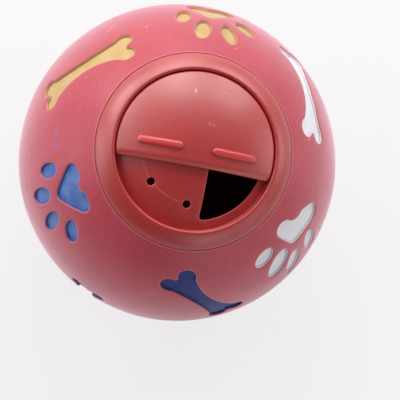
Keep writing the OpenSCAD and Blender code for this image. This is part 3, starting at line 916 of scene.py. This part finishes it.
# %% [markdown]
# ## The cover
# A half round domed leaf with a rolled straight edge, and below it the nub and the spindle
# that it turns on. A cut sphere would have knife edges. Here the rim's rings follow a field,
# as the figures' do, and each ring's height rolls the edge down a little further.

# %% Cover
NUB_R, NUB_H, SCREW_R, SCREW_L = 1.15, 0.3, 1.4, 5.5
BEVEL, BEVEL_SLOPE, BEVEL_SOFT = 1.7, 0.42, 0.12
RIM_ROLL, CHORD_ROLL = (0.36, 0.3), (0.3, 0.25)  # how wide the edge rolls, and how far down
RIM_LEVELS = (-0.04, -0.13, -0.28, -0.5, -0.8, -1.2, -1.7, -2.3)
COVER_SPACING, BOSS_AROUND, NUB_AROUND = 1.3, 40, 24


def cover_field(p):
    """Half a disc with its two corners rounded."""
    return -soft_min(COVER_R - np.hypot(p[:, 0], p[:, 1]), p[:, 1] - CHORD_Y, 1.0)


def roll(inside, width, drop):
    """How far an edge has rolled down, at a distance inside it."""
    share = np.clip(1 - inside / width, 0, 1)
    return drop * (1 - np.sqrt(1 - share ** 2))


def cover_top(flat):
    """The dome, less the rolled rim and the flat bevel along the straight edge."""
    across, inside = np.hypot(flat[:, 0], flat[:, 1]), flat[:, 1] - CHORD_Y
    bevel = BEVEL_SLOPE * np.maximum(BEVEL - inside, 0) ** 2 / (np.abs(BEVEL - inside) + BEVEL_SOFT)
    fall = roll(COVER_R - across, *RIM_ROLL) + bevel + roll(inside, *CHORD_ROLL)
    return np.column_stack([flat, sphere_z(COVER_TOP, across) - fall])


def cover_skin():
    skin, rough = Skin(), circle(COVER_R, 90)
    rough[:, 1] = np.maximum(rough[:, 1], CHORD_Y)
    lines = {0.0: outline(rough, cover_field, 0.8)}
    for level in RIM_LEVELS:
        lines[level] = settle(list(lines.values())[-1], cover_field, level)
    under = [skin.ring(lifted(lines[level], COVER_UNDER, up))
             for level, up in ((-0.28, 0), (-0.04, 0.06), (0.0, 0.3))]
    # Partly wear, partly painted highlight: the rolled rim's rings are marked paler
    top = [skin.ring(cover_top(line), 1.0 if -1 < level < 0 else 0.2) for level, line in lines.items()]
    skin.bridges(under + top)
    inner = cover_top(dome_points(COVER_R, COVER_SPACING, COVER_TOP)[:, :2])
    skin.fill(top[-1], [], inner[cover_field(inner) < RIM_LEVELS[-1]], flat_plan, COVER_SPACING)
    screw_end = SPINDLE_Z + SCREW_L
    boss = turned(skin, rounded([
        on_dome(COVER_UNDER, SPINDLE_R + 1), on_dome(COVER_UNDER, SPINDLE_R, 0.2),
        (SPINDLE_R, SPINDLE_Z, 0.3), (SCREW_R, SPINDLE_Z, 0.25), (SCREW_R, screw_end, 0.4),
        (0.3, screw_end + 0.3, 0)]), BOSS_AROUND)
    skin.bridges(boss)
    skin.close(boss[-1], (0, 0, screw_end + 0.35))
    nub = [skin.ring(lifted(circle(r, NUB_AROUND, -DIMPLE_CIRCLE), COVER_UNDER, -drop))
           for r, drop in ((NUB_R, 0), (NUB_R - 0.1, 0.12), (0.75, 0.24), (0.4, 0.29))]
    skin.bridges(nub)
    skin.close(nub[-1], (-DIMPLE_CIRCLE, 0, sphere_z(COVER_UNDER, DIMPLE_CIRCLE) - NUB_H))
    low = dome_points(COVER_R, UNDER_SPACING, COVER_UNDER)
    skin.fill(under[0], [boss[0], nub[0]], low[cover_field(low) < -0.3], flat_plan, UNDER_SPACING)
    return skin


def gate_mark(tree, mm):
    """The pale stub where the plastic ran into the mould."""
    stub = stroke(tree, mm, (-3.4, 18.1, 51.4), (-3.5, 18.9, 51.1), 0.22)
    return add(tree, "MULTIPLY", stub, 0.7), "#f0c9c4"


def pin_marks(tree, mm):
    """Two shallow marks of the pins that push the cover out of its mould."""
    spots = []
    for middle, radius in (((2.5, 8.5, 53.9), 0.5), ((3.8, 8.4, 53.8), 0.4)):
        away = add(tree, "ShaderNodeVectorMath", mm, middle, operation="DISTANCE", take="Value")
        spots.append(add(tree, RANGE, away, radius - 0.2, radius + 0.2, 1.0, 0.0))
    return add(tree, "MULTIPLY", add(tree, "MAXIMUM", *spots), 0.35), "#d98a86"


cover_plastic = abs_material("Satin_ABS_dial_cover", "#ad2023", "#a41b1f", [gate_mark, pin_marks])
piece("dial_cover_leaf", cover_skin(), cover_plastic, "cover", "cover_plastic", "dial_cover")

# %% [markdown]
# ## Shapes that repeat
# The cover has two equal finger ribs, the pivot has two washers, and the screw's thread
# follows a spiral. Each could be built by hand once more, but a node tree's numbers have
# names, and the same tree runs again with other numbers. Its result is kept as a plain mesh.

# %% Node trees that make meshes
CRISP = 0.6  # edges that bend by more than this angle, in radians, are shaded sharp


def node_group(name, **numbers):
    """An empty mesh-making tree with its named number inputs and a material input."""
    tree = bpy.data.node_groups.new(name, "GeometryNodeTree")
    for label, value in numbers.items():
        kind = "NodeSocketInt" if isinstance(value, int) else "NodeSocketFloat"
        tree.interface.new_socket(name=label, in_out="INPUT", socket_type=kind).default_value = value
    tree.interface.new_socket(name="material", in_out="INPUT", socket_type="NodeSocketMaterial")
    tree.interface.new_socket(name="mesh", in_out="OUTPUT", socket_type="NodeSocketGeometry")
    return tree, add(tree, "NodeGroupInput").node.outputs


def end_tree(tree, mesh, given):
    """Every tree ends the same way: no instances left, one material, and crisp edges sharp."""
    mesh = add(tree, "GeometryNodeRealizeInstances", mesh)
    mesh = add(tree, "GeometryNodeSetMaterial", {"Geometry": mesh, "Material": given["material"]})
    mesh = add(tree, "GeometryNodeSetShadeSmooth", mesh)
    bend = add(tree, "GeometryNodeInputMeshEdgeAngle", take="Unsigned Angle")
    crisp = add(tree, "FunctionNodeCompare", bend, CRISP, operation="GREATER_THAN")
    add(tree, "NodeGroupOutput", add(tree, "GeometryNodeSetShadeSmooth", {
        "Geometry": mesh, "Selection": crisp, "Shade Smooth": False}, domain="EDGE"))
    return tree


def grown(name, tree, material, body, slot, *stands_for, **lengths):
    """Runs a tree on an empty mesh, with lengths in mm, and keeps its result as a plain mesh."""
    made = bpy.data.objects.new(name, bpy.data.meshes.new(name))
    bpy.context.scene.collection.objects.link(made)
    modifier = made.modifiers.new(name, "NODES")
    modifier.node_group = tree
    for item in tree.interface.items_tree:
        if item.name in lengths:
            modifier[item.identifier] = lengths[item.name] * MM
        elif item.name == "material":
            modifier[item.identifier] = material
    result = bpy.data.meshes.new_from_object(made.evaluated_get(bpy.context.evaluated_depsgraph_get()))
    made.modifiers.clear()
    made.data = result
    let_ride(made, body, stands_for)


# %% [markdown]
# ## Finger ribs
# Two blunt bars that a finger pushes. A swept section comes to points at its ends, so a flat
# grid is bent into a bar instead: one of its directions runs from end to end and the other
# round the section. The other rib is the same bar, half a turn on.

# %% Finger ribs
def rib_tree():
    """Blunt bars with round ends on a dome, one every share of a turn."""
    tree, given = node_group(
        "Finger_ribs", dome=COVER_TOP * MM, inner_end=4.8 * MM, outer_end=19.4 * MM, wide=1.16 * MM,
        high=1.0 * MM, blunt=3.0, flare=0.1, base=BALL_R * MM, copies=2)
    grid = add(tree, "GeometryNodeMeshGrid", 1.0, 1.0, 72, 61)
    u, v, _ = add(tree, "ShaderNodeSeparateXYZ", add(tree, "GeometryNodeInputPosition")).node.outputs
    # From end to end, in shorter steps near both ends, where the bar closes in a quarter circle
    eased = add(tree, "MULTIPLY_ADD", add(tree, "SINE", add(tree, "MULTIPLY", u, math.pi)), 0.5, 0.5)
    length = add(tree, "SUBTRACT", given["outer_end"], given["inner_end"])
    along = add(tree, "MULTIPLY", eased, length)
    nearest = add(tree, "MINIMUM", along, add(tree, "SUBTRACT", length, along))
    end = add(tree, "MINIMUM", add(tree, "DIVIDE", nearest, given["wide"]), 1.0)
    full = add(tree, "SQRT", add(tree, "MULTIPLY", end, add(tree, "SUBTRACT", 2.0, end)))
    # Round the section, a circle pushed out towards a rounded square, with a flare at its foot
    angle, power = add(tree, "MULTIPLY", v, 2 * math.pi), add(tree, "DIVIDE", 2.0, given["blunt"])
    waves = [add(tree, wave, angle) for wave in ("SINE", "COSINE")]
    blunted = [add(tree, "POWER", add(tree, "ABSOLUTE", wave), power) for wave in waves]
    side, up = (add(tree, "MULTIPLY", add(tree, "SIGN", wave), size) for wave, size in zip(waves, blunted))
    foot = add(tree, "POWER", add(tree, "SUBTRACT", 1.0, add(tree, "MAXIMUM", up, 0.0)), 6.0)
    side = add(tree, "MULTIPLY_ADD", side, add(tree, "MULTIPLY", foot, given["flare"]), side)
    # On the dome, sunk a little into it
    x = add(tree, "ADD", along, given["inner_end"])
    y = add(tree, "MULTIPLY", add(tree, "MULTIPLY", side, full), given["wide"])
    rise = add(tree, "MULTIPLY", add(tree, "MAXIMUM", up, -0.35), add(tree, "SQRT", full))
    across = add(tree, "ADD", add(tree, "POWER", x, 2.0), add(tree, "MULTIPLY", y, y))
    dome = add(tree, "SQRT", add(tree, "SUBTRACT", add(tree, "POWER", given["dome"], 2.0), across))
    z = add(tree, "MULTIPLY_ADD", rise, given["high"], add(tree, "ADD", dome, given["base"]))
    bar = add(tree, "GeometryNodeSetPosition", {"Geometry": grid, "Position": add(tree, XYZ, x, y, z)})
    bar = add(tree, "GeometryNodeMergeByDistance", {"Geometry": bar, "Distance": 1e-6})
    part = add(tree, "DIVIDE", add(tree, "GeometryNodeInputIndex"), given["copies"])
    return end_tree(tree, add(tree, "GeometryNodeInstanceOnPoints", {
        "Points": add(tree, "GeometryNodePoints", given["copies"]), "Instance": bar,
        "Rotation": add(tree, XYZ, 0.0, 0.0, add(tree, "MULTIPLY", part, 2 * math.pi))}), given)


# Painted highlight: the ribs get a lighter red copy of the cover's plastic
rib_plastic_painted_lighter = abs_material("Satin_ABS_ribs_painted_lighter", "#d0292c", "#c42427")
grown("finger_ribs", rib_tree(), rib_plastic_painted_lighter, "cover", "cover_plastic")

# %% [markdown]
# ## The pivot
# A screw with a flat washer and a coned spring washer holds the cover from inside. They are
# turned parts, so a section swept round a circle makes the washers and the screw's head, and
# another led up a spiral makes the thread. Zinc plating gives pressed steel a cool, slightly
# cloudy shine, with a yellow tinge here and there from the bath that seals it.

# %% Zinc plated steel
def steel_material():
    material, tree, mm = start_material("Zinc_plated_steel")
    colour = layer(tree, "#b9bcc3", "#a3a8b2", patches(tree, mm, 2.2, 4.0))
    colour = layer(tree, colour, "#b8b49a", patches(tree, mm, 5.0, 2.0, 0.5, 0.7, 0.0, 0.35))
    rough = patches(tree, mm, 0.7, 4.0, 0.3, 0.7, 0.28, 0.42)
    return finish_material(material, mm, colour, rough, (0.3, 0.3, 0.03), {"Metallic": 1.0})


# %% Washers
def section(tree, corners, edge=None, steps=0):
    """A closed section through four corners (x, y), rounded where an edge radius is given."""
    shape = add(tree, "GeometryNodeCurvePrimitiveQuadrilateral", {
        f"Point {k + 1}": add(tree, XYZ, *corner) for k, corner in enumerate(corners)}, mode="POINTS")
    if edge is not None:
        shape = add(tree, "GeometryNodeFilletCurve", {
            "Curve": shape, "Radius": edge, "Count": steps, "Limit Radius": True}, mode="POLY")
    return shape


def swept(tree, path, shape, caps=False):
    """A section led along a path, with the faces turned outwards."""
    mesh = add(tree, "GeometryNodeCurveToMesh", {"Curve": path, "Profile Curve": shape, "Fill Caps": caps})
    return add(tree, "GeometryNodeFlipFaces", mesh)


def raised(tree, geometry, height):
    """The same shape, moved along the dial's axis."""
    return add(tree, "GeometryNodeTransform", {
        "Geometry": geometry, "Translation": add(tree, XYZ, 0.0, 0.0, height)})


def washer_tree():
    """A ring with a four cornered section. Rise lifts its inner edge, which makes a cone."""
    tree, given = node_group("Turned_washer", inner=0.0, outer=0.0, thick=0.0, rise=0.0, edge=0.0,
                             height=0.0)
    run = add(tree, "SUBTRACT", given["outer"], given["inner"])
    down, lift = (add(tree, "MULTIPLY", given[size], -1.0) for size in ("thick", "rise"))
    corners = [(0.0, lift), (run, 0.0), (run, down), (0.0, add(tree, "ADD", lift, down))]
    path = add(tree, "GeometryNodeCurvePrimitiveCircle", {"Resolution": 96, "Radius": given["inner"]})
    ring = swept(tree, path, section(tree, corners, given["edge"], 3))
    return end_tree(tree, raised(tree, ring, given["height"]), given)


# %% Screw
def screw_tree():
    """A pan head with a cross, a plain core and a thread that climbs it."""
    tree, given = node_group("Cross_head_screw", shank=0.0, core=0.0, length=0.0, pitch=0.0, head=0.0,
                             head_high=0.0, cross_long=0.0, cross_wide=0.0, cross_deep=0.0, height=0.0)
    core = add(tree, "GeometryNodeMeshCylinder", {
        "Vertices": 40, "Radius": given["core"], "Depth": given["length"]})
    half, climb, start = (add(tree, "MULTIPLY", given["length"], share) for share in (0.5, 0.8, 0.17))
    helix = raised(tree, add(tree, "GeometryNodeCurveSpiral", {
        "Resolution": 32, "Rotations": add(tree, "DIVIDE", climb, given["pitch"]),
        "Start Radius": given["core"], "End Radius": given["core"], "Height": climb}), start)
    helix = add(tree, "GeometryNodeSetCurveNormal", helix, mode="Z_UP")
    reach = add(tree, "SUBTRACT", given["core"], given["shank"])
    sunk, foot = add(tree, "MULTIPLY", reach, -0.3), add(tree, "MULTIPLY", given["pitch"], 0.36)
    crest, under_crest, heel = (add(tree, "MULTIPLY", foot, share) for share in (0.2, -0.2, -1.0))
    ridge = section(tree, [(sunk, foot), (reach, crest), (reach, under_crest), (sunk, heel)])
    thread = swept(tree, helix, ridge, True)
    crown_r, edge, axle_r = (add(tree, "MULTIPLY", given["head"], share) for share in (0.8, 0.22, 0.007))
    high, low = given["head_high"], add(tree, "MULTIPLY", given["head_high"], -1.0)
    head = section(tree, [(0.0, 0.0), (given["head"], 0.0), (crown_r, high), (0.0, high)], edge, 5)
    axle = add(tree, "GeometryNodeCurvePrimitiveCircle", {"Resolution": 64, "Radius": axle_r})
    head = swept(tree, axle, head)
    for x, y in (("cross_long", "cross_wide"), ("cross_wide", "cross_long")):
        size = add(tree, XYZ, given[x], given[y], add(tree, "MULTIPLY", given["cross_deep"], 2.0))
        arm = raised(tree, add(tree, "GeometryNodeMeshCube", size), low)
        head = add(tree, "GeometryNodeMeshBoolean", {"Mesh 1": head, "Mesh 2": arm},
                   operation="DIFFERENCE", solver="EXACT")
    screw = add(tree, "GeometryNodeJoinGeometry", {"Geometry": [raised(tree, core, half), thread, head]})
    return end_tree(tree, raised(tree, screw, given["height"]), given)


# %% Pivot parts
steel, washers = steel_material(), washer_tree()
WASHER_T, THREAD_PLAY = 0.8, 0.3
under_head = BALL_R + SPINDLE_Z - WASHER_T
grown("flat_steel_washer", washers, steel, "cover", "zinc_steel", "flat_washer",
      inner=1.5, outer=4.8, thick=WASHER_T, rise=0.0, edge=0.12, height=under_head)
grown("coned_spring_washer", washers, steel, "cover", "zinc_steel", "spring_washer",
      inner=3.1, outer=4.5, thick=0.4, rise=0.65, edge=0.08, height=BALL_R + SPINDLE_Z)
grown("cross_head_screw", screw_tree(), steel, "cover", "zinc_steel", "pivot_screw",
      shank=1.36, core=1.08, length=WASHER_T + SCREW_L - THREAD_PLAY, pitch=0.9, head=2.88, head_high=1.9,
      cross_long=3.2, cross_wide=0.8, cross_deep=1.2, height=under_head)
